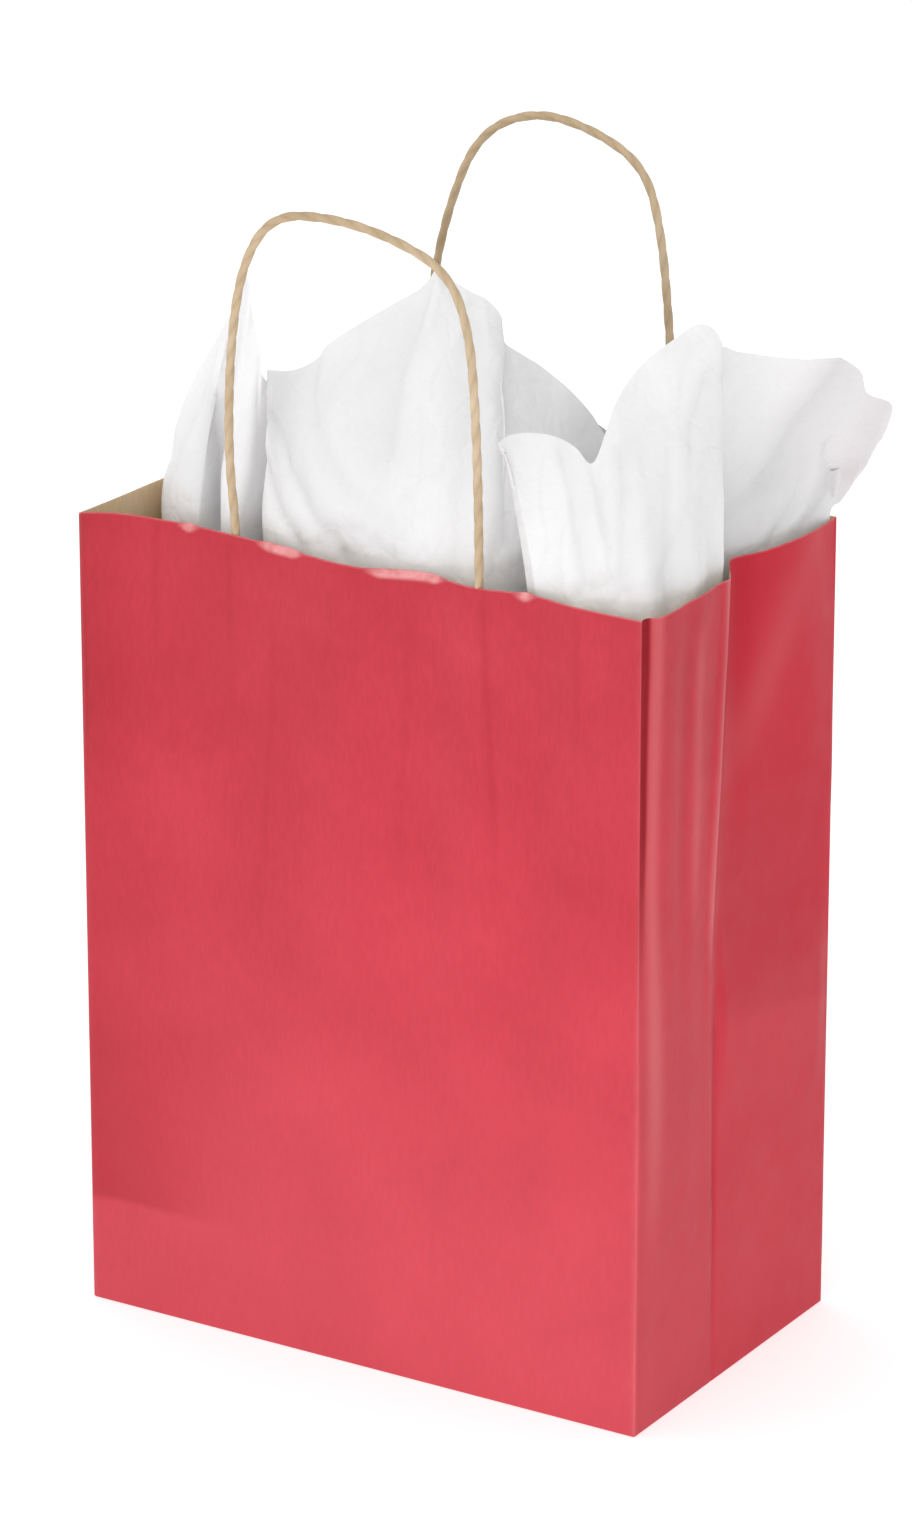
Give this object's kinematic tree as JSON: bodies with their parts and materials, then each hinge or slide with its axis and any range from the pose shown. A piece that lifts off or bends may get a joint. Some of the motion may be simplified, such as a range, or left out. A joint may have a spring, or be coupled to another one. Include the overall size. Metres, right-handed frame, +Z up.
{
  "type": "paper gift bag",
  "caption": "Upright square-bottom paper gift bag with side gussets, twisted paper cord handles and white tissue standing out of its open top.",
  "frame": {"origin": "centre of the bag's rectangular resting face, on the surface it stands on", "axes": "+Z up, +X along the wide side, to the right as the front panel is looked at; the front panel faces -Y"},
  "size_m": [0.2366, 0.1308, 0.384],
  "materials": {
    "red_kraft_paper": "satin",
    "natural_kraft_paper": "matte",
    "twisted_paper_cord": "matte",
    "white_tissue": "matte"
  },
  "bodies": {
    "bag": {"front_panel": "red_kraft_paper", "back_panel": "red_kraft_paper", "right_gusset_front": "red_kraft_paper", "right_gusset_rear": "red_kraft_paper", "left_gusset_front": "red_kraft_paper", "left_gusset_rear": "red_kraft_paper", "side_seam_lap": "red_kraft_paper", "bottom_back_flap": "red_kraft_paper", "bottom_front_flap": "red_kraft_paper", "bottom_left_tuck": "red_kraft_paper", "bottom_right_tuck": "red_kraft_paper", "front_patch": "natural_kraft_paper", "front_patch_cover": "natural_kraft_paper", "back_patch": "natural_kraft_paper", "back_patch_cover": "natural_kraft_paper", "front_handle_ends": "twisted_paper_cord", "back_handle_ends": "twisted_paper_cord"},
    "front_handle": {"front_handle_loop": "twisted_paper_cord"},
    "back_handle": {"back_handle_loop": "twisted_paper_cord"},
    "left_sheet": {"tissue_left": "white_tissue"},
    "middle_sheet": {"tissue_middle": "white_tissue"},
    "front_right_sheet": {"tissue_front_right": "white_tissue"},
    "back_right_sheet": {"tissue_back_right": "white_tissue"}
  },
  "joints": [
    {"name": "front_handle_fold", "type": "hinge", "parent": "bag", "child": "front_handle", "pos_m": [-0.0027, -0.056, 0.2667], "axis": [0.9982, -0.06, 0], "range_deg": [-32, 160]},
    {"name": "back_handle_fold", "type": "hinge", "parent": "bag", "child": "back_handle", "pos_m": [0.0003, 0.05599, 0.2667], "axis": [-1, -0.0028, 0], "range_deg": [-25, 165]},
    {"name": "left_sheet_lift", "type": "slide", "parent": "bag", "child": "left_sheet", "axis": [0, 0, 1], "range_m": [0, 0.28]},
    {"name": "middle_sheet_lift", "type": "slide", "parent": "bag", "child": "middle_sheet", "axis": [0, 0, 1], "range_m": [0, 0.28]},
    {"name": "front_right_sheet_lift", "type": "slide", "parent": "bag", "child": "front_right_sheet", "axis": [0, 0, 1], "range_m": [0, 0.28]},
    {"name": "back_right_sheet_lift", "type": "slide", "parent": "bag", "child": "back_right_sheet", "axis": [0, 0, 1], "range_m": [0, 0.28]}
  ]
}
